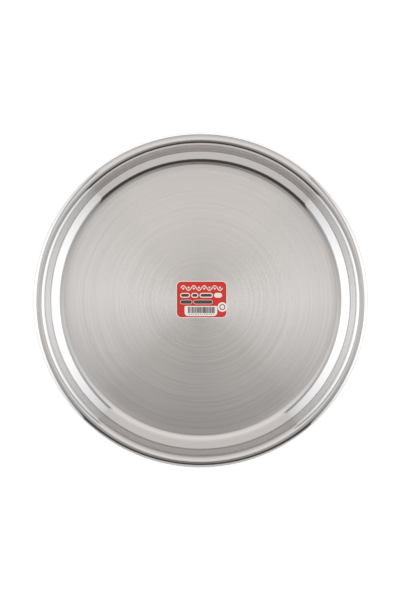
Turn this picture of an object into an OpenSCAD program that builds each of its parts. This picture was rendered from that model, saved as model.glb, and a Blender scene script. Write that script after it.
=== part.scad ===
// Thali plate: a round flat plate drawn and spun from one stainless sheet, with a low wall
// in two slopes and a hemmed rim, and the three paper stickers it is sold with.
// Origin: the middle of the resting face. +Z is up, +Y is the top of the label.

/* [Plate] */
// Diameter across the rim
plate_d = 300; // [240:1:400]
// Height from the resting face to the crown of the rim
plate_h = 18.2; // [16:0.1:26]
// Thickness of the steel sheet
sheet_t = 0.6; // [0.4:0.05:0.9]

/* [Rim] */
// Radius of the rim's inner half, from the wall up to the crown
rim_inner_r = 7.6; // [5:0.2:9]
// Radius of the rim's outer half, from the crown down to the lip
rim_outer_r = 9.6; // [7:0.2:14]
// Droop of the rim where the lip begins, in degrees from level
rim_droop = 20; // [12:1:30]
// Radius of the lip, where the sheet turns under
lip_r = 1.4; // [1.2:0.1:2.2]
// Clear gap between the end of the hem and the back of the wall
hem_gap = 0.7; // [0.3:0.05:1.5]

/* [Wall] */
// Steepness of the upper wall at its top, in degrees from level
wall_top_slope = 47.5; // [42:0.5:54]
// Steepness of the upper wall at its foot, in degrees from level
wall_foot_slope = 69.5; // [62:0.5:76]
// Height of the foot of the upper wall above the resting face
wall_foot_h = 7.4; // [6:0.1:9]
// Rounding of the crease between the lower wall and the upper wall
crease_r = 1.8; // [0.8:0.1:3]
// Steepness of the lower wall, in degrees from level
shoulder_slope = 34; // [28:0.5:38]
// Rounding between the floor and the lower wall
floor_r = 14.2; // [10:0.2:19]
// Radius of the slow curve with which the edge of the floor starts to rise
floor_lead_r = 60; // [30:1:90]
// Slope at which the slow curve gives way to the rounding, in degrees from level
floor_lead_slope = 6; // [3:0.5:9]

/* [Label] */
// Width of the label
label_w = 46; // [36:0.2:70]
// Height of the label, as it is read
label_l = 33.6; // [28:0.2:60]
// Corner radius of the label
label_corner_r = 4.6; // [2:0.2:8]
// Thickness of the label
label_t = 0.12; // [0.08:0.01:0.3]
// Distance of the label's middle to the right of the plate's middle
label_x = 1; // [-10:0.1:10]
// Distance of the label's middle above the plate's middle
label_y = 1.4; // [-10:0.1:10]

/* [Bar patch] */
// Margin from the label's left edge to the white patch that carries the bars
patch_side_margin = 7.5; // [3:0.1:12]
// Gap between the patch and the round size sticker
patch_dot_gap = 0.3; // [0.1:0.05:3]
// Height of the patch
patch_l = 9.2; // [6:0.2:12]
// Radius of its two lower corners
patch_corner_r = 3.4; // [1.5:0.1:4.4]
// Radius of its two upper corners
patch_top_corner_r = 1; // [0.5:0.1:1.5]
// Thickness of the patch
patch_t = 0.1; // [0.06:0.01:0.3]
// Margin from the label's lower edge to the patch
patch_low_margin = 1.7; // [0.5:0.1:4]

/* [Size dot] */
// Diameter of the round size sticker
dot_d = 8.7; // [5:0.1:12]
// Thickness of the round sticker
dot_t = 0.1; // [0.06:0.01:0.3]
// How far the round sticker laps past the label's right edge
dot_lap = 0.2; // [0:0.05:1]
// Height of the round sticker's middle above the label's lower edge
dot_y = 9.9; // [6:0.1:16]

/* [Hidden] */
// Degrees between the points on a curved stretch of an outline, and on the slow curve
arc_step = 6;
lead_step = 1.5;
$fn = 240;

// The rim is three arcs: its inner half and its outer half meet at the crown, and the lip
// follows where the rim has drooped
crown_x = plate_d / 2 - lip_r * (1 - sin(rim_droop)) - rim_outer_r * sin(rim_droop);
rim_inner_centre = [crown_x, plate_h - rim_inner_r];
rim_outer_centre = [crown_x, plate_h - rim_outer_r];
lip_centre = rim_outer_centre + (rim_outer_r - lip_r) * upright(-rim_droop);

// The upper wall is one slow arc from its foot up to the rim
wall_r = (rim_inner_centre.y + rim_inner_r * cos(wall_top_slope) - wall_foot_h)
    / (cos(wall_top_slope) - cos(wall_foot_slope));
wall_centre = rim_inner_centre + (rim_inner_r - wall_r) * upright(wall_top_slope);
wall_foot = wall_centre + wall_r * upright(wall_foot_slope);

// The lower wall is straight between two roundings, whose centres lie inside and above. The
// slow curve at the edge of the floor leads into the lower one.
crease_centre = wall_foot + crease_r * upright(wall_foot_slope);
shoulder_top = crease_centre - crease_r * upright(shoulder_slope);
floor_lead_h = sheet_t + floor_lead_r * (1 - cos(floor_lead_slope));
shoulder_foot_h = floor_lead_h + floor_r * (cos(floor_lead_slope) - cos(shoulder_slope));
shoulder_foot_x = shoulder_top.x - (shoulder_top.y - shoulder_foot_h) / tan(shoulder_slope);
floor_centre = [shoulder_foot_x, shoulder_foot_h] + floor_r * upright(shoulder_slope);
floor_lead_centre = floor_centre + (floor_lead_r - floor_r) * upright(floor_lead_slope);

// The hem runs level under the rim and ends short of the back of the wall
hem_low = lip_centre.y - lip_r;
hem_rise = hem_low + sheet_t - wall_centre.y;
hem_end_x = wall_centre.x - sqrt(pow(wall_r - sheet_t - hem_gap, 2) - pow(hem_rise, 2));

label_top = sheet_t + label_t;
label_low = label_y - label_l / 2;
label_left = label_x - label_w / 2;
label_right = label_x + label_w / 2;
dot_x = label_right + dot_lap - dot_d / 2;
patch_left = label_left + patch_side_margin;
patch_right = dot_x - dot_d / 2 - patch_dot_gap;

// Direction square to the sheet where it has this slope, pointing up out of the plate
function upright(slope) = [-sin(slope), cos(slope)];

// Angles from one to another, in steps of at most this size
function steps_between(first, last, step = arc_step) =
    let (steps = ceil(abs(last - first) / step))
    [for (i = [0:steps]) first + (last - first) * i / steps];

// One rounding of the sheet, with its slope running from first to last. The radius is below
// zero where the centre lies above the sheet.
function bend(centre, r, first, last, step = arc_step) =
    [for (a = steps_between(first, last, step)) centre + r * upright(a)];

// One face of the sheet from the floor to the end of the hem, this far below the inside face
function sheet_face(depth) = concat(
    bend(floor_lead_centre, -floor_lead_r - depth, 0, floor_lead_slope, lead_step),
    bend(floor_centre, -floor_r - depth, floor_lead_slope, shoulder_slope),
    bend(crease_centre, -crease_r - depth, shoulder_slope, wall_foot_slope),
    bend(wall_centre, wall_r - depth, wall_foot_slope, wall_top_slope),
    bend(rim_inner_centre, rim_inner_r - depth, wall_top_slope, 0),
    bend(rim_outer_centre, rim_outer_r - depth, 0, -rim_droop),
    bend(lip_centre, lip_r - depth, -rim_droop, -180),
    [[hem_end_x, hem_low + depth]]
);

function reversed(points) = [for (i = [len(points) - 1:-1:0]) points[i]];

// Outline of the sheet, cut from the plate's axis to the lip
sheet_outline = concat(
    [[0, sheet_t]],
    sheet_face(0),
    reversed(sheet_face(sheet_t)),
    [[0, 0]]
);

// Outline of a sticker about its middle, with one radius for its upper corners and one
// for its lower corners
function sticker_outline(w, l, top_r, low_r) =
    let (corners = [[1, 1, top_r], [-1, 1, top_r], [-1, -1, low_r], [1, -1, low_r]])
    [for (c = [0:3], a = steps_between(c * 90, c * 90 + 90))
        let (r = corners[c][2])
        [corners[c][0] * (w / 2 - r) + r * cos(a), corners[c][1] * (l / 2 - r) + r * sin(a)]];

// The plate: floor, lower wall, upper wall, rim and hem in one sheet
module plate() {
    color("silver") rotate_extrude() polygon(sheet_outline);
}

// Printed label, stuck flat on the middle of the floor
module label() {
    color("firebrick") translate([label_x, label_y, sheet_t])
        linear_extrude(label_t)
            polygon(sticker_outline(label_w, label_l, label_corner_r, label_corner_r));
}

// White patch for the bars, stuck on the foot of the label
module bar_patch() {
    color("white")
        translate([(patch_left + patch_right) / 2, label_low + patch_low_margin + patch_l / 2, label_top])
            linear_extrude(patch_t)
                polygon(sticker_outline(patch_right - patch_left, patch_l, patch_top_corner_r, patch_corner_r));
}

// Round white sticker for the size, stuck over the label's right edge
module size_dot() {
    color("ivory") translate([dot_x, label_low + dot_y, label_top])
        cylinder(d = dot_d, h = dot_t);
}

plate();
label();
bar_patch();
size_dot();
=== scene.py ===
"""Looks of a thali plate: one spun stainless sheet with a circular brushed floor, a polished
two-slope wall and a hemmed rim, and the printed stickers on the middle of its floor.

Lengths are metres in the frame's own axes: +Z is up out of the dish, +Y is the label's top.
Sizes that a maker would give in millimetres are written as a number times MM.
"""
import sys
import logging
import math
from dataclasses import dataclass
from enum import Enum
from typing import ClassVar

import bpy
from bpy.types import Material, Node, NodeSocket, NodeTree, Object, bpy_prop_collection
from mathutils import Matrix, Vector


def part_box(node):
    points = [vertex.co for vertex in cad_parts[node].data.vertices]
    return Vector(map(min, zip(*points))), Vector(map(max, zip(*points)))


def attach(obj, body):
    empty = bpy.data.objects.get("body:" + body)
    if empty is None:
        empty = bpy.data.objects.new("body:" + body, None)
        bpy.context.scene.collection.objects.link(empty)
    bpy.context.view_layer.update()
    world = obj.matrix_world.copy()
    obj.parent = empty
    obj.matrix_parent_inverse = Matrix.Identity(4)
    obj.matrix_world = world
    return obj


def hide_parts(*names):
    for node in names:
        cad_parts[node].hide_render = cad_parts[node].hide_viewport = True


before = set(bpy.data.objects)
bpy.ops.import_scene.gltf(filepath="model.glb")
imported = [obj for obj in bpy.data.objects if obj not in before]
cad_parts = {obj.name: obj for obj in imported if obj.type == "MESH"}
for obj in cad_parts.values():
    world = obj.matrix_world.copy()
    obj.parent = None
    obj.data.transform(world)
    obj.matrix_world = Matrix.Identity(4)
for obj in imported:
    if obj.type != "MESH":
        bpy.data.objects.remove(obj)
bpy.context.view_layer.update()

MM = 0.001
# Height of the photograph, in pixels
IMAGE_H = 601
# Thickness of one film of ink
INK = 0.012 * MM
# Points closer than this are one point
WELD = 0.001 * MM
# Light that matt things take from the tent and the room, where 1 is white
EVEN_LIGHT = 0.9
WHITE = (1, 1, 1, 1)
log = logging.getLogger("thali_plate")


def srgb(code: str) -> tuple[float, float, float, float]:
    """Turns an sRGB hex colour into the linear colour that a shader takes.

    Args:
        code: Six hex digits after a hash sign.

    Returns:
        Linear red, green and blue, and an alpha of 1.
    """
    parts = [int(code[i:i + 2], 16) / 255 for i in (1, 3, 5)]
    linear = [p / 12.92 if p <= 0.04045 else ((p + 0.055) / 1.055) ** 2.4 for p in parts]
    return (*linear, 1.0)


def add(tree: NodeTree, kind: str, inputs: dict | None = None, **settings) -> Node:
    """Adds one node, sets its options and fills or links its inputs.

    Args:
        tree: The node tree that gets the node.
        kind: The node's type, such as ShaderNodeMath.
        inputs: Socket name or number to a value, or to another node's output socket.
        settings: The node's own options.

    Returns:
        The new node.
    """
    node = tree.nodes.new(kind)
    for name, value in settings.items():
        setattr(node, name, value)
    for key, value in (inputs or {}).items():
        if isinstance(value, NodeSocket):
            tree.links.new(value, node.inputs[key])
        else:
            node.inputs[key].default_value = value
    return node


def new_material(name: str) -> tuple[Material, NodeTree]:
    """Makes an empty node material.

    Args:
        name: The material's name.

    Returns:
        The material and its node tree.
    """
    material = bpy.data.materials.new(name)
    material.use_nodes = True
    material.node_tree.nodes.clear()
    return material, material.node_tree


def finish_material(tree: NodeTree, shader: NodeSocket) -> None:
    """Links a shader to the material's output.

    Args:
        tree: The material's node tree.
        shader: The shader's output socket.
    """
    add(tree, "ShaderNodeOutputMaterial", {"Surface": shader})


def socket_name(tree: NodeTree, name: str) -> str:
    """Finds the identifier of a tree's input by its name.

    Args:
        tree: The Geometry Nodes tree.
        name: The input's name.

    Returns:
        The socket's identifier, by which a modifier takes its value.
    """
    return next(s.identifier for s in tree.interface.items_tree if s.in_out == "INPUT" and s.name == name)


def mesh_object(name: str, corners: list, edges: list, faces: list,
                material: Material | None = None) -> Object:
    """Makes a mesh object and puts it in the scene.

    Args:
        name: The name of the object and of its mesh.
        corners: The places of its corners.
        edges: Pairs of corners, for lines that border no face.
        faces: The corners of each face, in order as seen from outside.
        material: What its faces are made of.

    Returns:
        The object.
    """
    mesh = bpy.data.meshes.new(name)
    mesh.from_pydata(corners, edges, faces)
    if material:
        mesh.materials.append(material)
    piece = bpy.data.objects.new(name, mesh)
    bpy.context.scene.collection.objects.link(piece)
    return piece


def grow(name: str, tree: NodeTree, values: dict) -> Object:
    """Runs a Geometry Nodes tree and keeps the result as a plain mesh object.

    Args:
        name: The new object's name.
        tree: The tree.
        values: The tree's input names and their values.

    Returns:
        The object, with no modifier left on it.
    """
    piece = bpy.data.objects.new(name, bpy.data.meshes.new("blank"))
    bpy.context.scene.collection.objects.link(piece)
    modifier = piece.modifiers.new("grow", "NODES")
    modifier.node_group = tree
    for key, value in values.items():
        modifier[socket_name(tree, key)] = value
    bpy.context.view_layer.update()
    evaluated = piece.evaluated_get(bpy.context.evaluated_depsgraph_get())
    result = bpy.data.meshes.new_from_object(evaluated)
    piece.modifiers.remove(modifier)
    piece.data = result
    result.name = name
    return piece


class PlateFace(Enum):
    """The two faces of the plate's sheet, which are finished apart."""

    INSIDE = "inside"
    UNDERSIDE = "underside"


@dataclass(frozen=True)
class BrushedSteel:
    """Stainless steel, spun against a belt. The fine rings of scratches spread a highlight
    outwards and not round the plate, so light gathers in soft wedges; where the sheet turns
    up, the mop has polished the rings away and the steel mirrors what stands round it."""

    name: str
    floor_colour: str
    wall_colour: str
    floor_roughness: float
    wall_roughness: float
    ring_spacing: float
    roughness_swing: float
    streak_share: float
    ring_depth: float = 0.003 * MM
    # Radii between which the brushing gives way to the polish
    polish_starts: float = 119 * MM
    polish_ends: float = 126 * MM
    # Radii between which the floor's colour gives way to the wall's darker one, a painted shade on the
    # floor's edge
    edge_shade_starts: float = 85 * MM
    edge_shade_ends: float = 130 * MM
    # How far round the plate a streak keeps its shade, in radians
    streak_turn: float = 1.25
    streak_detail: float = 3.0
    # The noise hardly ever leaves this part of its range
    noise_low: float = 0.3
    noise_high: float = 0.7
    anisotropy: float = 0.95
    # A quarter turn, so that the light spreads across the rings
    spread_turn: float = 0.25

    def build(self) -> Material:
        """Builds the material.

        Returns:
            The finished material.
        """
        material, tree = new_material(self.name)
        place = add(tree, "ShaderNodeTexCoord").outputs["Object"]
        flat = add(tree, "ShaderNodeVectorMath", {0: place, 1: (1, 1, 0)}, operation="MULTIPLY").outputs[0]
        radius = add(tree, "ShaderNodeVectorMath", {0: flat}, operation="LENGTH").outputs["Value"]
        bearing = add(tree, "ShaderNodeVectorMath", {0: flat}, operation="NORMALIZE").outputs[0]
        # Streaks are long round the plate and narrow across it. The belt's own scratches lie about
        # 0.1 mm apart, too fine to show, so the rings are drawn as coarse as they need to show.
        across = add(tree, "ShaderNodeMath", {0: radius, 1: self.ring_spacing}, operation="DIVIDE").outputs[0]
        lift = add(tree, "ShaderNodeCombineXYZ", {"Z": across}).outputs[0]
        turn = add(tree, "ShaderNodeVectorMath", {0: bearing, "Scale": 1 / self.streak_turn},
                   operation="SCALE").outputs[0]
        streak_place = add(tree, "ShaderNodeVectorMath", {0: turn, 1: lift}, operation="ADD").outputs[0]
        streaks = add(tree, "ShaderNodeTexNoise", {"Vector": streak_place, "Scale": 1.0,
                      "Detail": self.streak_detail}).outputs["Fac"]
        polish = add(tree, "ShaderNodeMapRange", {"Value": radius, "From Min": self.polish_starts,
                     "From Max": self.polish_ends}, interpolation_type="SMOOTHSTEP").outputs[0]
        # Deeper rings spread the light further, so they catch more of the lamps
        brushing = add(tree, "ShaderNodeMapRange", {"Value": streaks, "From Min": self.noise_low,
                       "From Max": self.noise_high, "To Min": self.floor_roughness - self.roughness_swing,
                       "To Max": self.floor_roughness + self.roughness_swing}).outputs[0]
        roughness = add(tree, "ShaderNodeMapRange", {"Value": polish, "To Min": brushing,
                        "To Max": self.wall_roughness}).outputs[0]
        # The scratches fade with the polish
        brushed = add(tree, "ShaderNodeMath", {0: 1.0, 1: polish}, operation="SUBTRACT").outputs[0]
        depth = add(tree, "ShaderNodeMath", {0: brushed, 1: self.ring_depth}, operation="MULTIPLY").outputs[0]
        bump = add(tree, "ShaderNodeBump", {"Height": streaks, "Distance": depth, "Strength": 1.0}).outputs[0]
        shade = add(tree, "ShaderNodeMapRange", {"Value": streaks, "To Min": 1.0 - self.streak_share / 2,
                    "To Max": 1.0 + self.streak_share / 2}).outputs[0]
        value = add(tree, "ShaderNodeMapRange", {"Value": polish, "To Min": shade, "To Max": 1.0}).outputs[0]
        # Painted shade: the floor darkens towards its edge, taking on some of the wall's darker colour
        edge_shade = add(tree, "ShaderNodeMapRange", {"Value": radius, "From Min": self.edge_shade_starts,
                   "From Max": self.edge_shade_ends}).outputs[0]
        metal = add(tree, "ShaderNodeMix", {0: edge_shade, 6: srgb(self.floor_colour), 7: srgb(self.wall_colour)},
                    data_type="RGBA").outputs[2]
        tint = add(tree, "ShaderNodeMix", {"Factor": 1.0, 6: metal, 7: value},
                   data_type="RGBA", blend_type="MULTIPLY").outputs[2]
        round_axis = add(tree, "ShaderNodeTangent", direction_type="RADIAL", axis="Z").outputs[0]
        shader = add(tree, "ShaderNodeBsdfPrincipled", {"Base Color": tint, "Metallic": 1.0,
                     "Roughness": roughness, "Anisotropic": self.anisotropy,
                     "Anisotropic Rotation": self.spread_turn, "Tangent": round_axis,
                     "Normal": bump}).outputs[0]
        finish_material(tree, shader)
        return material


@dataclass(frozen=True)
class CoatedPaper:
    """Coated label paper: a smooth fibrous sheet under a thin clear varnish, so that print on it
    is even and it takes a soft, broad shine."""

    name: str
    colour: str
    roughness: float
    mottle: float
    # Real fibres are about 0.02 mm wide, too fine to show, so they are drawn as far wider tufts
    fibre_size: float = 1.2 * MM
    fibre_detail: float = 4.0
    fibre_height: float = 0.004 * MM
    varnish: float = 0.3
    varnish_roughness: float = 0.25

    def build(self) -> Material:
        """Builds the material.

        Returns:
            The finished material.
        """
        material, tree = new_material(self.name)
        place = add(tree, "ShaderNodeTexCoord").outputs["Object"]
        fibre = add(tree, "ShaderNodeTexNoise", {"Vector": place, "Scale": 1 / self.fibre_size,
                    "Detail": self.fibre_detail}).outputs["Fac"]
        dark = add(tree, "ShaderNodeMath", {0: fibre, 1: self.mottle}, operation="MULTIPLY").outputs[0]
        value = add(tree, "ShaderNodeMath", {0: 1.0 + self.mottle / 2, 1: dark},
                    operation="SUBTRACT").outputs[0]
        tint = add(tree, "ShaderNodeMix", {"Factor": 1.0, 6: srgb(self.colour), 7: value},
                   data_type="RGBA", blend_type="MULTIPLY").outputs[2]
        bump = add(tree, "ShaderNodeBump", {"Height": fibre, "Distance": self.fibre_height,
                   "Strength": 1.0}).outputs[0]
        shader = add(tree, "ShaderNodeBsdfPrincipled", {"Base Color": tint, "Roughness": self.roughness,
                     "Coat Weight": self.varnish, "Coat Roughness": self.varnish_roughness,
                     "Normal": bump}).outputs[0]
        finish_material(tree, shader)
        return material


@dataclass(frozen=True)
class Ink:
    """Printing ink on coated paper: an even film with a little gloss, a touch thinner in places."""

    name: str
    colour: str
    roughness: float = 0.4
    # Real ink thins over single fibres, too fine to show, so its thin places are drawn wider
    patch_size: float = 0.8 * MM
    patch_detail: float = 3.0
    unevenness: float = 0.08

    def build(self) -> Material:
        """Builds the material.

        Returns:
            The finished material.
        """
        material, tree = new_material(self.name)
        place = add(tree, "ShaderNodeTexCoord").outputs["Object"]
        film = add(tree, "ShaderNodeTexNoise", {"Vector": place, "Scale": 1 / self.patch_size,
                   "Detail": self.patch_detail}).outputs["Fac"]
        value = add(tree, "ShaderNodeMapRange", {"Value": film, "To Min": 1.0 - self.unevenness,
                    "To Max": 1.0 + self.unevenness}).outputs[0]
        tint = add(tree, "ShaderNodeMix", {"Factor": 1.0, 6: srgb(self.colour), 7: value},
                   data_type="RGBA", blend_type="MULTIPLY").outputs[2]
        shader = add(tree, "ShaderNodeBsdfPrincipled",
                     {"Base Color": tint, "Roughness": self.roughness}).outputs[0]
        finish_material(tree, shader)
        return material


def upright(slope: float) -> Vector:
    """Gives the direction square to the sheet, pointing up out of the plate.

    Args:
        slope: The sheet's slope there, outwards and up.

    Returns:
        A unit vector in radius and height.
    """
    return Vector((-math.sin(slope), math.cos(slope)))


@dataclass(frozen=True)
class Rounding:
    """One arc of the sheet's inside face. Its radius is below zero where its centre lies above."""

    centre: Vector
    radius: float
    first: float
    last: float

    FEWEST_STEPS: ClassVar[int] = 4

    def points(self, depth: float, step: float) -> list[Vector]:
        """Gives the arc's points.

        Args:
            depth: How far below the inside face they lie.
            step: The largest turn from one point to the next.

        Returns:
            The points in order, as radius and height.
        """
        steps = max(self.FEWEST_STEPS, math.ceil(abs(self.last - self.first) / step))
        slopes = [self.first + (self.last - self.first) * i / steps for i in range(steps + 1)]
        return [self.centre + (self.radius - depth) * upright(slope) for slope in slopes]


@dataclass
class SheetProfile:
    """The plate's sheet, cut from its axis to the end of its hem, by the same arcs as the solid."""

    rim_radius: float
    height: float
    sheet: float = 0.6 * MM
    rim_inner: float = 7.6 * MM
    rim_outer: float = 9.6 * MM
    rim_droop: float = math.radians(20)
    lip: float = 1.4 * MM
    hem_gap: float = 0.7 * MM
    wall_top_slope: float = math.radians(47.5)
    wall_foot_slope: float = math.radians(69.5)
    wall_foot_height: float = 7.4 * MM
    crease: float = 1.8 * MM
    shoulder_slope: float = math.radians(34)
    floor_round: float = 14.2 * MM
    floor_lead: float = 60 * MM
    floor_lead_slope: float = math.radians(6)
    # The largest turn from one point of an arc to the next
    arc_step: float = math.radians(3)
    # How far from an arc's end the straight stretch beside it has a point of its own
    guard: float = 0.4 * MM

    def __post_init__(self) -> None:
        """Works out the arcs from the sizes, from the floor out to the lip."""
        droop = math.sin(self.rim_droop)
        crown = self.rim_radius - self.lip * (1 - droop) - self.rim_outer * droop
        inner = Vector((crown, self.height - self.rim_inner))
        outer = Vector((crown, self.height - self.rim_outer))
        self.lip_centre = outer + (self.rim_outer - self.lip) * upright(-self.rim_droop)
        top, foot = math.cos(self.wall_top_slope), math.cos(self.wall_foot_slope)
        wall_radius = (inner.y + self.rim_inner * top - self.wall_foot_height) / (top - foot)
        wall = inner + (self.rim_inner - wall_radius) * upright(self.wall_top_slope)
        crease = wall + (wall_radius + self.crease) * upright(self.wall_foot_slope)
        shoulder_top = crease - self.crease * upright(self.shoulder_slope)
        slow = math.cos(self.floor_lead_slope)
        foot_rise = self.floor_lead * (1 - slow) + self.floor_round * (slow - math.cos(self.shoulder_slope))
        run = (shoulder_top.y - self.sheet - foot_rise) / math.tan(self.shoulder_slope)
        shoulder_foot = Vector((shoulder_top.x - run, self.sheet + foot_rise))
        floor = shoulder_foot + self.floor_round * upright(self.shoulder_slope)
        lead = floor + (self.floor_lead - self.floor_round) * upright(self.floor_lead_slope)
        self.roundings = [
            Rounding(lead, -self.floor_lead, 0.0, self.floor_lead_slope),
            Rounding(floor, -self.floor_round, self.floor_lead_slope, self.shoulder_slope),
            Rounding(crease, -self.crease, self.shoulder_slope, self.wall_foot_slope),
            Rounding(wall, wall_radius, self.wall_foot_slope, self.wall_top_slope),
            Rounding(inner, self.rim_inner, self.wall_top_slope, 0.0),
            Rounding(outer, self.rim_outer, 0.0, -self.rim_droop),
            Rounding(self.lip_centre, self.lip, -self.rim_droop, -math.pi),
        ]
        hem_rise = self.lip_centre.y - self.lip + self.sheet - wall.y
        hem_reach = math.sqrt((wall_radius - self.sheet - self.hem_gap) ** 2 - hem_rise ** 2)
        self.hem_end = Vector((wall.x - hem_reach, self.lip_centre.y - self.lip))

    def face(self, which: PlateFace) -> list[Vector]:
        """Gives one face of the sheet, from the axis to the end of the hem.

        Args:
            which: The inside face or the underside.

        Returns:
            Points as radius and height.
        """
        depth = self.sheet if which is PlateFace.UNDERSIDE else 0.0
        level = self.sheet - depth
        # The flat floor has one ring of points half-way out
        points = [Vector((0.0, level)), Vector((self.roundings[0].centre.x / 2, level))]
        for rounding in self.roundings:
            points += self.after_gap(points[-1], rounding.points(depth, self.arc_step))
        points += self.after_gap(points[-1], [self.hem_end + Vector((0.0, depth))])
        if which is PlateFace.UNDERSIDE:
            # The sheet's cut edge, at the end of the hem
            points.append(self.hem_end)
        return points

    def after_gap(self, last: Vector, run: list[Vector]) -> list[Vector]:
        """Joins a run of points to the last one, straight or where they already meet.

        Args:
            last: The point before the run.
            run: The points that follow.

        Returns:
            The points to add. A straight stretch gets a guard point near each end, which keeps
            it flat where smooth shading meets a rounding.
        """
        gap = run[0] - last
        if gap.length < 2 * self.guard:
            return run[1:]
        way = gap.normalized() * self.guard
        return [last + way, run[0] - way] + run


@dataclass
class Plate:
    """The plate itself: floor, lower wall, upper wall, rim and hem in one sheet."""

    inside: BrushedSteel
    underside: BrushedSteel
    turn_steps: int = 320

    def __post_init__(self) -> None:
        """Takes the outer sizes from the frame's own node."""
        low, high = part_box("plate")
        self.profile = SheetProfile(rim_radius=(high.y - low.y) / 2, height=high.z)

    def profile_object(self, which: PlateFace) -> Object:
        """Makes a face's outline as a line of edges, for the lathe to turn.

        Args:
            which: The face to draw.

        Returns:
            The outline, with its radius along X and its height along -Y, as the lathe takes it.
        """
        points = self.profile.face(which)
        edges = [(i, i + 1) for i in range(len(points) - 1)]
        return mesh_object(f"{which.value}_outline", [(p.x, -p.y, 0.0) for p in points], edges, [])

    def lathe_tree(self) -> NodeTree:
        """Builds the lathe: both outlines are turned about the Z axis and joined.

        Returns:
            The Geometry Nodes tree.
        """
        tree = bpy.data.node_groups.new("plate_lathe", "GeometryNodeTree")
        face = tree.interface
        face.new_socket("Geometry", in_out="INPUT", socket_type="NodeSocketGeometry")
        face.new_socket("Turn steps", in_out="INPUT", socket_type="NodeSocketInt")
        face.new_socket("Turning radius", in_out="INPUT", socket_type="NodeSocketFloat")
        for which in PlateFace:
            face.new_socket(f"{which.value} outline", in_out="INPUT", socket_type="NodeSocketObject")
            face.new_socket(f"{which.value} finish", in_out="INPUT", socket_type="NodeSocketMaterial")
        face.new_socket("Geometry", in_out="OUTPUT", socket_type="NodeSocketGeometry")
        sizes = add(tree, "NodeGroupInput").outputs
        path = add(tree, "GeometryNodeCurvePrimitiveCircle",
                   {"Resolution": sizes["Turn steps"], "Radius": sizes["Turning radius"]}).outputs[0]
        inward = add(tree, "ShaderNodeMath", {0: sizes["Turning radius"], 1: -1.0},
                     operation="MULTIPLY").outputs[0]
        shift = add(tree, "ShaderNodeCombineXYZ", {"X": inward}).outputs[0]
        turned = []
        for which in PlateFace:
            line = add(tree, "GeometryNodeObjectInfo",
                       {"Object": sizes[f"{which.value} outline"]}).outputs["Geometry"]
            curve = add(tree, "GeometryNodeMeshToCurve", {"Mesh": line}).outputs[0]
            moved = add(tree, "GeometryNodeTransform",
                        {"Geometry": curve, "Translation": shift}).outputs[0]
            solid = add(tree, "GeometryNodeCurveToMesh",
                        {"Curve": path, "Profile Curve": moved}).outputs[0]
            dressed = add(tree, "GeometryNodeSetMaterial",
                          {"Geometry": solid, "Material": sizes[f"{which.value} finish"]}).outputs[0]
            if which is PlateFace.UNDERSIDE:
                dressed = add(tree, "GeometryNodeFlipFaces", {"Mesh": dressed}).outputs[0]
            turned.append(dressed)
        joined = add(tree, "GeometryNodeJoinGeometry")
        for part in reversed(turned):
            tree.links.new(part, joined.inputs[0])
        # The two faces meet at the end of the hem, and each comes to one point at the axis
        closed = add(tree, "GeometryNodeMergeByDistance",
                     {"Geometry": joined.outputs[0], "Distance": WELD}).outputs[0]
        smooth = add(tree, "GeometryNodeSetShadeSmooth", {"Geometry": closed}).outputs[0]
        real = add(tree, "GeometryNodeRealizeInstances", {"Geometry": smooth}).outputs[0]
        add(tree, "NodeGroupOutput", {"Geometry": real})
        return tree

    def turned(self) -> Object:
        """Runs the lathe on the two outlines.

        Returns:
            The plate's object, closed and smooth-shaded.
        """
        outlines = {which: self.profile_object(which) for which in PlateFace}
        finishes = {PlateFace.INSIDE: self.inside.build(), PlateFace.UNDERSIDE: self.underside.build()}
        values = {"Turn steps": self.turn_steps, "Turning radius": self.profile.rim_radius}
        for which in PlateFace:
            values[f"{which.value} outline"] = outlines[which]
            values[f"{which.value} finish"] = finishes[which]
        piece = grow("steel_plate", self.lathe_tree(), values)
        for outline in outlines.values():
            bpy.data.objects.remove(outline)
        return piece

    def build(self) -> Object:
        """Turns the sheet on the lathe and hides the frame's plate behind it.

        Returns:
            The plate's finished mesh object.
        """
        piece = self.turned()
        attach(piece, "root")
        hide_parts("plate")
        log.info("plate: %d faces", len(piece.data.polygons))
        return piece


class Layer(Enum):
    """The films of ink on a sticker, from the lowest up. A value counts films above the paper."""

    FIELD = 1
    LIGHT = 2
    DARK = 3


@dataclass(frozen=True)
class RoundedShape:
    """A flat shape with round corners, such as a field of colour or a printed stroke. Its place
    is the middle's, from the middle of the paper that it is printed on."""

    x: float
    y: float
    width: float
    length: float
    corner: float

    CORNER_STEPS: ClassVar[int] = 12

    def outline(self, margin: float = 0.0) -> list[Vector]:
        """Gives the shape's outline.

        Args:
            margin: How far the outline is drawn in.

        Returns:
            The points, in order round the shape.
        """
        points = []
        turn = self.corner - margin
        for quarter, (side, end) in enumerate(((1, 1), (-1, 1), (-1, -1), (1, -1))):
            x = self.x + side * (self.width / 2 - self.corner)
            y = self.y + end * (self.length / 2 - self.corner)
            for step in range(self.CORNER_STEPS + 1):
                angle = (quarter + step / self.CORNER_STEPS) * math.pi / 2
                points.append(Vector((x + turn * math.cos(angle), y + turn * math.sin(angle))))
        # Where a side has no straight stretch its two corners share a point, which is kept once
        return [p for p, last in zip(points, points[-1:] + points) if (p - last).length > WELD]


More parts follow.
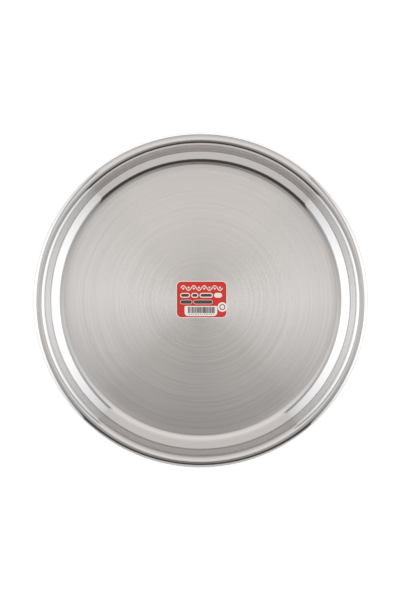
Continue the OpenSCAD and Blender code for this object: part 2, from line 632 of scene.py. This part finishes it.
@dataclass
class Paper:
    """One of the frame's stickers, and the place of its print."""

    node: str
    slot: str

    def __post_init__(self) -> None:
        """Takes the sticker's place and size from the frame."""
        low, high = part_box(self.node)
        self.middle = Vector(((low.x + high.x) / 2, (low.y + high.y) / 2))
        self.width = high.x - low.x
        self.length = high.y - low.y
        self.top = high.z

    def dress(self, finish: Material) -> None:
        """Gives the sticker its paper.

        Args:
            finish: The paper's material.
        """
        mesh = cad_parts[self.node].data
        mesh.materials.clear()
        mesh.materials.append(finish)
        log.info("%s: paper", self.node)

    def keep(self, piece: Object) -> None:
        """Puts a printed piece on this paper for good.

        Args:
            piece: The piece, built in place.
        """
        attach(piece, "root")
        log.info("%s: %d faces", piece.name, len(piece.data.polygons))

    def print_shapes(self, name: str, shapes: list[RoundedShape], layer: Layer, ink: Material,
                     margin: float = 0.0) -> None:
        """Prints flat shapes as a thin film.

        Args:
            name: The piece's name.
            shapes: The shapes.
            layer: The film that they belong to.
            ink: The ink's material.
            margin: How far each outline is drawn in.
        """
        corners, faces = [], []
        for shape in shapes:
            ring = [self.middle + p for p in shape.outline(margin)]
            foot = [len(corners) + i for i in range(len(ring))]
            head = [i + len(ring) for i in foot]
            for level in (self.top, self.top + layer.value * INK):
                corners += [(p.x, p.y, level) for p in ring]
            faces += [foot[::-1], head]
            faces += [(foot[i - 1], foot[i], head[i], head[i - 1]) for i in range(len(ring))]
        self.keep(mesh_object(name, corners, [], faces, ink))

    def print_grown(self, name: str, tree: NodeTree, layer: Layer, ink: Material,
                    place: tuple[float, float], values: dict) -> None:
        """Prints what a Geometry Nodes tree draws.

        Args:
            name: The piece's name.
            tree: The tree.
            layer: The film that it belongs to.
            ink: The ink's material.
            place: The drawing's middle, from the middle of the paper.
            values: The tree's own inputs, beside its place, its film's height and its ink.
        """
        x, y = self.middle + Vector(place)
        common = {"Place": (x, y, self.top), "Film height": layer.value * INK, "Ink": ink}
        self.keep(grow(name, tree, {**common, **values}))


def drawing_tree(name: str, inputs: dict[str, str]) -> tuple[NodeTree, bpy_prop_collection]:
    """Starts a Geometry Nodes tree for print, with the inputs that all print shares.

    Args:
        name: The tree's name.
        inputs: Names and kinds of its own inputs.

    Returns:
        The tree, and the sockets of its inputs by name.
    """
    tree = bpy.data.node_groups.new(name, "GeometryNodeTree")
    shared = {"Geometry": "Geometry", "Place": "Vector", "Film height": "Float", "Ink": "Material"}
    for key, kind in {**shared, **inputs}.items():
        tree.interface.new_socket(key, in_out="INPUT", socket_type=f"NodeSocket{kind}")
    tree.interface.new_socket("Geometry", in_out="OUTPUT", socket_type="NodeSocketGeometry")
    return tree, add(tree, "NodeGroupInput").outputs


def end_drawing(tree: NodeTree, sizes: bpy_prop_collection, drawing: NodeSocket) -> None:
    """Ends a print tree: puts the drawing in place, makes it real and gives it its ink.

    Args:
        tree: The tree.
        sizes: The sockets of its inputs.
        drawing: The drawing's socket.
    """
    moved = add(tree, "GeometryNodeTransform",
                {"Geometry": drawing, "Translation": sizes["Place"]}).outputs[0]
    real = add(tree, "GeometryNodeRealizeInstances", {"Geometry": moved}).outputs[0]
    inked = add(tree, "GeometryNodeSetMaterial", {"Geometry": real, "Material": sizes["Ink"]}).outputs[0]
    add(tree, "NodeGroupOutput", {"Geometry": inked})


def bars_tree() -> NodeTree:
    """Builds a row of upright bars of uneven width, at an even pitch.

    Returns:
        The Geometry Nodes tree.
    """
    tree, sizes = drawing_tree("bars", {"Bars": "Int", "Pitch": "Float", "Bar length": "Float",
                                        "Thinnest share": "Float", "Widest share": "Float", "Seed": "Int"})
    last = add(tree, "ShaderNodeMath", {0: sizes["Bars"], 1: 1.0}, operation="SUBTRACT").outputs[0]
    span = add(tree, "ShaderNodeMath", {0: last, 1: sizes["Pitch"]}, operation="MULTIPLY").outputs[0]
    left = add(tree, "ShaderNodeMath", {0: span, 1: -0.5}, operation="MULTIPLY").outputs[0]
    half_up = add(tree, "ShaderNodeMath", {0: sizes["Film height"], 1: 0.5}, operation="MULTIPLY").outputs[0]
    first = add(tree, "ShaderNodeCombineXYZ", {"X": left, "Z": half_up}).outputs[0]
    pitch = add(tree, "ShaderNodeCombineXYZ", {"X": sizes["Pitch"]}).outputs[0]
    places = add(tree, "GeometryNodeMeshLine",
                 {"Count": sizes["Bars"], "Start Location": first, "Offset": pitch}).outputs[0]
    share = add(tree, "FunctionNodeRandomValue", {2: sizes["Thinnest share"], 3: sizes["Widest share"],
                "Seed": sizes["Seed"]}, data_type="FLOAT").outputs[1]
    width = add(tree, "ShaderNodeMath", {0: share, 1: sizes["Pitch"]}, operation="MULTIPLY").outputs[0]
    size = add(tree, "ShaderNodeCombineXYZ",
               {"X": width, "Y": sizes["Bar length"], "Z": sizes["Film height"]}).outputs[0]
    bar = add(tree, "GeometryNodeMeshCube", {"Size": (1, 1, 1)}).outputs[0]
    row = add(tree, "GeometryNodeInstanceOnPoints",
              {"Points": places, "Instance": bar, "Scale": size}).outputs[0]
    end_drawing(tree, sizes, row)
    return tree


def wave_tree() -> NodeTree:
    """Builds a wavy rule with a round dot in each of its hollows.

    Returns:
        The Geometry Nodes tree.
    """
    tree, sizes = drawing_tree("wavy_rule", {"Span": "Float", "Waves": "Int", "Wave points": "Int",
                                             "Swing": "Float", "Line width": "Float", "Dot radius": "Float",
                                             "Dot corners": "Int", "Dot offset": "Float"})
    right = add(tree, "ShaderNodeMath", {0: sizes["Span"], 1: 0.5}, operation="MULTIPLY").outputs[0]
    left = add(tree, "ShaderNodeMath", {0: right, 1: -1.0}, operation="MULTIPLY").outputs[0]
    half_up = add(tree, "ShaderNodeMath", {0: sizes["Film height"], 1: 0.5}, operation="MULTIPLY").outputs[0]
    first = add(tree, "ShaderNodeCombineXYZ", {"X": left, "Z": half_up}).outputs[0]
    last = add(tree, "ShaderNodeCombineXYZ", {"X": right, "Z": half_up}).outputs[0]
    line = add(tree, "GeometryNodeCurvePrimitiveLine", {"Start": first, "End": last}).outputs[0]
    points = add(tree, "ShaderNodeMath", {0: sizes["Waves"], 1: sizes["Wave points"]},
                 operation="MULTIPLY").outputs[0]
    fine = add(tree, "GeometryNodeResampleCurve", {"Curve": line, "Count": points}).outputs[0]

    share = add(tree, "GeometryNodeSplineParameter").outputs["Factor"]
    turns = add(tree, "ShaderNodeMath", {0: share, 1: sizes["Waves"]}, operation="MULTIPLY").outputs[0]
    angle = add(tree, "ShaderNodeMath", {0: turns, 1: math.tau}, operation="MULTIPLY").outputs[0]
    rise = add(tree, "ShaderNodeMath", {0: angle}, operation="SINE").outputs[0]
    swing = add(tree, "ShaderNodeMath", {0: rise, 1: sizes["Swing"]}, operation="MULTIPLY").outputs[0]
    offset = add(tree, "ShaderNodeCombineXYZ", {"Y": swing}).outputs[0]
    wave = add(tree, "GeometryNodeSetPosition", {"Geometry": fine, "Offset": offset}).outputs[0]
    level = add(tree, "GeometryNodeSetCurveNormal", {"Curve": wave}, mode="Z_UP").outputs[0]
    section = add(tree, "GeometryNodeCurvePrimitiveQuadrilateral", {"Width": sizes["Line width"],
                  "Height": sizes["Film height"]}).outputs[0]
    rule = add(tree, "GeometryNodeCurveToMesh",
               {"Curve": level, "Profile Curve": section, "Fill Caps": True}).outputs[0]

    # Every half wave has one hollow, above and below the rule by turns
    dots = add(tree, "ShaderNodeMath", {0: sizes["Waves"], 1: 2.0}, operation="MULTIPLY").outputs[0]
    pitch = add(tree, "ShaderNodeMath", {0: sizes["Span"], 1: dots}, operation="DIVIDE").outputs[0]
    start = add(tree, "ShaderNodeMath", {0: pitch, 1: 0.5, 2: left}, operation="MULTIPLY_ADD").outputs[0]
    first_dot = add(tree, "ShaderNodeCombineXYZ", {"X": start, "Z": half_up}).outputs[0]
    step = add(tree, "ShaderNodeCombineXYZ", {"X": pitch}).outputs[0]
    places = add(tree, "GeometryNodeMeshLine",
                 {"Count": dots, "Start Location": first_dot, "Offset": step}).outputs[0]
    number = add(tree, "GeometryNodeInputIndex").outputs[0]
    odd = add(tree, "ShaderNodeMath", {0: number, 1: 2.0}, operation="MODULO").outputs[0]
    way = add(tree, "ShaderNodeMath", {0: odd, 1: 2.0, 2: -1.0}, operation="MULTIPLY_ADD").outputs[0]
    dot_y = add(tree, "ShaderNodeMath", {0: way, 1: sizes["Dot offset"]}, operation="MULTIPLY").outputs[0]
    shift = add(tree, "ShaderNodeCombineXYZ", {"Y": dot_y}).outputs[0]
    set_off = add(tree, "GeometryNodeSetPosition", {"Geometry": places, "Offset": shift}).outputs[0]
    disc = add(tree, "GeometryNodeMeshCylinder", {"Vertices": sizes["Dot corners"],
               "Radius": sizes["Dot radius"], "Depth": sizes["Film height"]}).outputs[0]
    row = add(tree, "GeometryNodeInstanceOnPoints", {"Points": set_off, "Instance": disc}).outputs[0]
    joined = add(tree, "GeometryNodeJoinGeometry")
    for part in (row, rule):
        tree.links.new(part, joined.inputs[0])
    end_drawing(tree, sizes, joined.outputs[0])
    return tree


@dataclass(frozen=True)
class StrokeRow:
    """A row of printed strokes, light all round and dark in the middle. The first few have the
    dark middle, and any others are light all through."""

    name: str
    middle: float
    thickness: float
    light_edge: float
    lengths: tuple[float, ...]
    with_middle: int

    def shapes(self, left: float, gap: float) -> list[RoundedShape]:
        """Lays the strokes out side by side.

        Args:
            left: Where the first stroke begins.
            gap: The gap from each stroke to the next.

        Returns:
            The strokes' shapes, from the left.
        """
        strokes = []
        for length in self.lengths:
            middle = left + length / 2
            strokes.append(RoundedShape(middle, self.middle, length, self.thickness, self.thickness / 2))
            left += length + gap
        return strokes


@dataclass
class Label(Paper):
    """The printed label: a red field in a white border, with a wavy rule and two rows of strokes."""

    node: str = "label"
    slot: str = "label_paper"
    border: float = 0.55 * MM
    corner: float = 4.6 * MM
    rule_up: float = 10.4 * MM
    rule_span: float = 38 * MM
    rule_waves: int = 4
    rule_swing: float = 2.2 * MM
    rule_width: float = 0.9 * MM
    rule_dot: float = 0.9 * MM
    rule_dot_offset: float = 0.5 * MM
    strokes_left: float = -19.5 * MM
    stroke_gap: float = 1.1 * MM

    # Points along each wave of the rule, and corners of each dot
    FINENESS: ClassVar[int] = 24
    ROWS: ClassVar[tuple[StrokeRow, ...]] = (
        StrokeRow("upper_words", middle=3.8 * MM, thickness=4.4 * MM, light_edge=0.9 * MM,
                  lengths=(9 * MM, 6.5 * MM, 12 * MM, 7.3 * MM), with_middle=3),
        StrokeRow("lower_words", middle=-2.3 * MM, thickness=3.9 * MM, light_edge=0.35 * MM,
                  lengths=(11 * MM, 17.5 * MM), with_middle=2),
    )

    def build(self, paper: Material, field: Material, light: Material, dark: Material) -> None:
        """Dresses the label and prints it.

        Args:
            paper: The label's paper.
            field: The ink of the field.
            light: The ink of the rule and of the strokes' edges.
            dark: The ink of the strokes' middles.
        """
        self.dress(paper)
        ground = RoundedShape(0, 0, self.width - 2 * self.border, self.length - 2 * self.border,
                              self.corner - self.border)
        self.print_shapes("red_field", [ground], Layer.FIELD, field)
        self.print_grown("wavy_rule", wave_tree(), Layer.LIGHT, light, (0, self.rule_up), {
            "Span": self.rule_span, "Waves": self.rule_waves, "Wave points": self.FINENESS,
            "Swing": self.rule_swing, "Line width": self.rule_width, "Dot radius": self.rule_dot,
            "Dot corners": self.FINENESS, "Dot offset": self.rule_dot_offset})
        for row in self.ROWS:
            strokes = row.shapes(self.strokes_left, self.stroke_gap)
            self.print_shapes(f"{row.name}_edges", strokes, Layer.LIGHT, light)
            self.print_shapes(row.name, strokes[:row.with_middle], Layer.DARK, dark, margin=row.light_edge)


@dataclass(frozen=True)
class BarRow:
    """A row of printed bars. The shares are parts of the pitch that the bars' widths lie between."""

    name: str
    place: tuple[float, float]
    bars: int
    pitch: float
    length: float
    thinnest_share: float
    widest_share: float
    seed: int


@dataclass
class BarPatch(Paper):
    """The white patch at the label's foot, with a row of long bars over a row of short ones."""

    node: str = "bar_patch"
    slot: str = "patch_paper"

    ROWS: ClassVar[tuple[BarRow, ...]] = (
        BarRow("bars", place=(0.6 * MM, 0.9 * MM), bars=26, pitch=0.95 * MM, length=5.6 * MM,
               thinnest_share=0.4, widest_share=1.0, seed=7),
        BarRow("bar_feet", place=(0.6 * MM, -2.9 * MM), bars=12, pitch=2.0 * MM, length=0.7 * MM,
               thinnest_share=0.3, widest_share=0.6, seed=3),
    )

    def build(self, paper: Material, dark: Material) -> None:
        """Dresses the patch and prints it.

        Args:
            paper: The patch's paper.
            dark: The ink of the bars.
        """
        self.dress(paper)
        for row in self.ROWS:
            self.print_grown(row.name, bars_tree(), Layer.FIELD, dark, row.place, {
                "Bars": row.bars, "Pitch": row.pitch, "Bar length": row.length,
                "Thinnest share": row.thinnest_share, "Widest share": row.widest_share,
                "Seed": row.seed})


@dataclass
class SizeDot(Paper):
    """The round white sticker at the label's right edge, with a printed ring."""

    node: str = "size_dot"
    slot: str = "dot_paper"
    ring: float = 5.4 * MM
    ring_width: float = 0.8 * MM

    def build(self, paper: Material, colour: Material, light: Material) -> None:
        """Dresses the sticker and prints it.

        Args:
            paper: The sticker's paper.
            colour: The ink of the ring.
            light: The ink inside the ring.
        """
        self.dress(paper)
        disc = RoundedShape(0, 0, self.ring, self.ring, self.ring / 2)
        self.print_shapes("ring", [disc], Layer.FIELD, colour)
        self.print_shapes("ring_middle", [disc], Layer.LIGHT, light, margin=self.ring_width)


def build_stickers() -> None:
    """Makes the paper and the inks, and builds the three stickers with them."""
    white = CoatedPaper("white label paper", "#F4F3F1", roughness=0.35, mottle=0.03).build()
    red = Ink("red ink", "#D42A1D").build()
    light = Ink("white ink", "#F6ECE8").build()
    dark = Ink("dark grey ink", "#4A3F3D").build()
    maroon = Ink("maroon ink", "#8C343C").build()
    Label().build(white, red, light, dark)
    BarPatch().build(white, dark)
    SizeDot().build(white, maroon, light)


@dataclass(frozen=True)
class PhotoCamera:
    """The photograph's camera, nearly straight above the plate and a little to its back."""

    distance: float
    lean: float
    pixels_across: float
    aim_up: float

    # The sensor spans the picture's height, its longer side. Blender takes it in millimetres.
    SENSOR: ClassVar[float] = 36.0
    NEAREST: ClassVar[float] = 10 * MM
    FURTHEST: ClassVar[float] = 100.0

    def build(self, profile: SheetProfile) -> None:
        """Adds the camera and makes it the scene's own.

        Args:
            profile: The plate's profile, for its width and the level of its lip.
        """
        data = bpy.data.cameras.new("camera")
        data.sensor_width = self.SENSOR
        view_height = 2 * profile.rim_radius / self.pixels_across * IMAGE_H
        data.lens = self.SENSOR * self.distance / view_height
        data.clip_start = self.NEAREST
        data.clip_end = self.FURTHEST
        camera = bpy.data.objects.new("camera", data)
        away = Vector((0, math.sin(self.lean), math.cos(self.lean))) * self.distance
        camera.location = Vector((0, self.aim_up, profile.lip_centre.y)) + away
        camera.rotation_euler = (-self.lean, 0, 0)
        bpy.context.scene.collection.objects.link(camera)
        bpy.context.scene.camera = camera


@dataclass(frozen=True)
class TentPanel:
    """One wall of the light tent, or its ceiling: white cloth lit from behind. The levels are
    shares of white at places along one axis. A hole is an oval, dark place in the cloth, given by
    its middle and by half its width and length."""

    name: str
    low: tuple[float, float, float]
    high: tuple[float, float, float]
    axis: str
    levels: tuple[tuple[float, float], ...]
    colour: str = "#FFFAF6"
    end_fade: float = 0.0
    hole: tuple[float, float, float, float] | None = None

    # The ramp holds each level as a share of this one
    BRIGHTEST: ClassVar[float] = 2.0
    HOLE_LEVEL: ClassVar[float] = 0.2
    # The hole's soft edge, as shares of its size
    HOLE_EDGE: ClassVar[tuple[float, float]] = (0.8, 1.1)
    # The tent stands a little turned to the plate
    TURN: ClassVar[float] = math.radians(-1.5)

    def level_node(self, tree: NodeTree, place: dict[str, NodeSocket]) -> NodeSocket:
        """Makes the level of light along the panel's axis.

        Args:
            tree: The material's node tree.
            place: The three coordinates, by the axis's name.

        Returns:
            The level's socket.
        """
        first, last = self.levels[0][0], self.levels[-1][0]
        along = add(tree, "ShaderNodeMapRange",
                    {"Value": place[self.axis], "From Min": first, "From Max": last}).outputs[0]
        ramp = add(tree, "ShaderNodeValToRGB", {0: along})
        stops = ramp.color_ramp.elements
        while len(stops) < len(self.levels):
            stops.new(0.5)
        for stop, (at, level) in zip(stops, self.levels):
            stop.position = (at - first) / (last - first)
            stop.color = (*[level / self.BRIGHTEST] * 3, 1)
        return add(tree, "ShaderNodeMath", {0: ramp.outputs[0], 1: self.BRIGHTEST},
                   operation="MULTIPLY").outputs[0]

    def faded(self, tree: NodeTree, along: NodeSocket, level: NodeSocket) -> NodeSocket:
        """Dims the light towards the panel's front and back ends.

        Args:
            tree: The material's node tree.
            along: The place between the two ends.
            level: The light's level in the middle.

        Returns:
            The dimmed level's socket.
        """
        middle, half = (self.low[1] + self.high[1]) / 2, (self.high[1] - self.low[1]) / 2
        off = add(tree, "ShaderNodeMath", {0: along, 1: middle}, operation="SUBTRACT").outputs[0]
        off = add(tree, "ShaderNodeMath", {0: off}, operation="ABSOLUTE").outputs[0]
        fade = add(tree, "ShaderNodeMapRange", {"Value": off, "From Max": half, "To Min": 1.0,
                   "To Max": 1.0 - self.end_fade}).outputs[0]
        return add(tree, "ShaderNodeMath", {0: level, 1: fade}, operation="MULTIPLY").outputs[0]

    def pierced(self, tree: NodeTree, position: NodeSocket, level: NodeSocket) -> NodeSocket:
        """Darkens the hole.

        Args:
            tree: The material's node tree.
            position: The place on the panel.
            level: The light's level outside the hole.

        Returns:
            The level's socket, with the hole in it.
        """
        x, y, half_x, half_y = self.hole
        centre = (x, y, self.low[2])
        off = add(tree, "ShaderNodeVectorMath", {0: position, 1: centre}, operation="SUBTRACT").outputs[0]
        off = add(tree, "ShaderNodeVectorMath", {0: off, 1: (half_x, half_y, 1)},
                  operation="DIVIDE").outputs[0]
        reach = add(tree, "ShaderNodeVectorMath", {0: off}, operation="LENGTH").outputs["Value"]
        inner, outer = self.HOLE_EDGE
        return add(tree, "ShaderNodeMapRange", {"Value": reach, "From Min": inner, "From Max": outer,
                   "To Min": self.HOLE_LEVEL, "To Max": level}).outputs[0]

    def cloth(self) -> Material:
        """Builds the panel's lit cloth.

        Returns:
            The finished material.
        """
        material, tree = new_material(f"lit cloth, {self.name}")
        position = add(tree, "ShaderNodeTexCoord").outputs["Object"]
        place = dict(zip("XYZ", add(tree, "ShaderNodeSeparateXYZ", {0: position}).outputs))
        level = self.level_node(tree, place)
        if self.end_fade:
            level = self.faded(tree, place["Y"], level)
        if self.hole:
            level = self.pierced(tree, position, level)
        # Matt things take the even light of the whole tent, and metal mirrors this panel
        path = add(tree, "ShaderNodeLightPath").outputs
        strength = add(tree, "ShaderNodeMapRange", {"Value": path["Is Diffuse Ray"], "To Min": level,
                       "To Max": EVEN_LIGHT}).outputs[0]
        glow = add(tree, "ShaderNodeEmission", {"Color": srgb(self.colour), "Strength": strength}).outputs[0]
        finish_material(tree, glow)
        material.cycles.emission_sampling = "NONE"
        return material

    def build(self) -> None:
        """Hangs the panel where the camera doesn't see it."""
        flat = next(i for i in range(3) if self.low[i] == self.high[i])
        first, second = [i for i in range(3) if i != flat]
        corners = []
        for use_first, use_second in ((0, 0), (1, 0), (1, 1), (0, 1)):
            corner = list(self.low)
            corner[first] = (self.low, self.high)[use_first][first]
            corner[second] = (self.low, self.high)[use_second][second]
            corners.append(corner)
        panel = mesh_object(f"tent_{self.name}", corners, [], [(0, 1, 2, 3)], self.cloth())
        panel.visible_camera = False
        panel.rotation_euler = (0, 0, self.TURN)


@dataclass(frozen=True)
class LightTent:
    """The light tent that the plate mirrors: a lamp behind the foot of each side, a front that is
    open above its foot, and a ceiling that darkens towards that opening."""

    side: float = 300 * MM
    back: float = 310 * MM
    front: float = -355 * MM
    top: float = 750 * MM
    # Height to which each lamp reaches, and half the width of its soft edge
    lamp_top: float = 413 * MM
    lamp_edge: float = 8 * MM
    side_colour: str = "#FFFFFF"
    side_fade: float = 0.5
    # Height of the cloth at the front, and half the width of its soft edge
    cloth_top: float = 338 * MM
    cloth_edge: float = 15 * MM
    ceiling_hole: tuple[float, float, float, float] = (0, -150 * MM, 40 * MM, 100 * MM)

    def panels(self) -> tuple[TentPanel, ...]:
        """Lists the tent's panels. Each pair in their levels is a place and the level there.

        Returns:
            The two sides, the front, the back and the ceiling.
        """
        side, back, front, top = self.side, self.back, self.front, self.top
        lamp = ((0.0, 1.1), (50 * MM, 1.27), (110 * MM, 1.45), (200 * MM, 1.75),
                (self.lamp_top - self.lamp_edge, 1.75), (self.lamp_top + self.lamp_edge, 0.71), (top, 0.71))
        ahead = ((0.0, 0.36), (44 * MM, 0.52), (90 * MM, 0.71), (220 * MM, 0.76),
                 (self.cloth_top - self.cloth_edge, 0.74), (self.cloth_top + self.cloth_edge, 0.06),
                 (top, 0.06))
        behind = ((0.0, 0.25), (80 * MM, 0.44), (180 * MM, 0.68), (290 * MM, 0.76), (470 * MM, 0.86),
                  (top, 1.0))
        above = ((front, 0.20), (-300 * MM, 0.32), (-200 * MM, 0.47), (-150 * MM, 0.58),
                 (-60 * MM, 0.80), (20 * MM, 0.85), (80 * MM, 0.90), (back, 1.04))
        sides = [TentPanel(name, (x, front, 0), (x, back, top), "Z", lamp, self.side_colour, self.side_fade)
                 for name, x in (("left", -side), ("right", side))]
        return (
            *sides,
            TentPanel("front", (-side, front, 0), (side, front, top), "Z", ahead),
            TentPanel("back", (-side, back, 0), (side, back, top), "Z", behind),
            TentPanel("ceiling", (-side, front, top), (side, back, top), "Y", above,
                      hole=self.ceiling_hole),
        )

    def build(self) -> None:
        """Hangs all the panels."""
        for panel in self.panels():
            panel.build()


def shown_white(tree: NodeTree, hidden: float, shown: float) -> NodeSocket:
    """Makes a level that differs for what is seen: by the camera, in metal or through glass.

    Args:
        tree: The node tree.
        hidden: The level for all other light.
        shown: The level that is seen.

    Returns:
        The level's socket.
    """
    path = add(tree, "ShaderNodeLightPath").outputs
    seen = add(tree, "ShaderNodeMath", {0: path["Is Camera Ray"], 1: path["Is Glossy Ray"]},
               operation="MAXIMUM").outputs[0]
    seen = add(tree, "ShaderNodeMath", {0: seen, 1: path["Is Transmission Ray"]},
               operation="MAXIMUM").outputs[0]
    return add(tree, "ShaderNodeMapRange", {"Value": seen, "To Min": hidden, "To Max": shown}).outputs[0]


@dataclass(frozen=True)
class Backdrop:
    """The white paper under the plate and the white room round the tent."""

    half_width: float = 6.0
    level: float = -0.02 * MM
    # How white the paper is by itself, and the glow that makes it a full white where it is seen
    shade: float = 0.9
    glow: float = 0.4

    def build_room(self) -> None:
        """Lights the room round the tent."""
        world = bpy.data.worlds.new("white room")
        world.use_nodes = True
        tree = world.node_tree
        tree.nodes.clear()
        strength = shown_white(tree, EVEN_LIGHT, 1.0)
        light = add(tree, "ShaderNodeBackground", {"Color": WHITE, "Strength": strength}).outputs[0]
        add(tree, "ShaderNodeOutputWorld", {"Surface": light})
        bpy.context.scene.world = world

    def paper(self) -> Material:
        """Builds the paper's material.

        Returns:
            The finished material.
        """
        material, tree = new_material("white paper floor")
        matt = add(tree, "ShaderNodeBsdfDiffuse", {"Color": (*[self.shade] * 3, 1)}).outputs[0]
        light = add(tree, "ShaderNodeEmission",
                    {"Color": WHITE, "Strength": shown_white(tree, 0.0, self.glow)}).outputs[0]
        sheet = add(tree, "ShaderNodeAddShader", {0: matt, 1: light}).outputs[0]
        # The paper is clear from below, so that the plate's underside can be looked at
        clear = add(tree, "ShaderNodeBsdfTransparent").outputs[0]
        below = add(tree, "ShaderNodeNewGeometry").outputs["Backfacing"]
        finish_material(tree, add(tree, "ShaderNodeMixShader", {0: below, 1: sheet, 2: clear}).outputs[0])
        return material

    def build_floor(self) -> None:
        """Lays the paper under the plate."""
        half = self.half_width
        corners = [(x * half, y * half, self.level) for x, y in ((-1, -1), (1, -1), (1, 1), (-1, 1))]
        floor = mesh_object("paper_floor", corners, [], [(0, 1, 2, 3)], self.paper())

    def build(self) -> None:
        """Adds the room and the paper."""
        self.build_room()
        self.build_floor()


def main() -> None:
    """Builds the studio, the plate, the camera and the stickers, and reports each piece."""
    logging.basicConfig(level=logging.INFO, format="%(name)s: %(message)s", stream=sys.stdout)
    bpy.context.scene.view_settings.view_transform = "Standard"
    LightTent().build()
    Backdrop().build()
    # Stainless sheet: a satin floor and a mirror wall inside, and underneath the mill's own grey
    steel = BrushedSteel(name="brushed stainless steel", floor_colour="#E6E5E4", wall_colour="#DAD9D9",
                         floor_roughness=0.25, wall_roughness=0.08, ring_spacing=1.4 * MM,
                         roughness_swing=0.01, streak_share=0.20)
    under = BrushedSteel(name="mill finish stainless steel", floor_colour="#C6C4C1", wall_colour="#C6C4C1",
                         floor_roughness=0.38, wall_roughness=0.30, ring_spacing=1.7 * MM,
                         roughness_swing=0.02, streak_share=0.14)
    plate = Plate(steel, under)
    plate.build()
    camera = PhotoCamera(distance=1200 * MM, lean=math.radians(4.9), pixels_across=334.7, aim_up=1.8 * MM)
    camera.build(plate.profile)
    build_stickers()


if __name__ == "__main__":
    main()
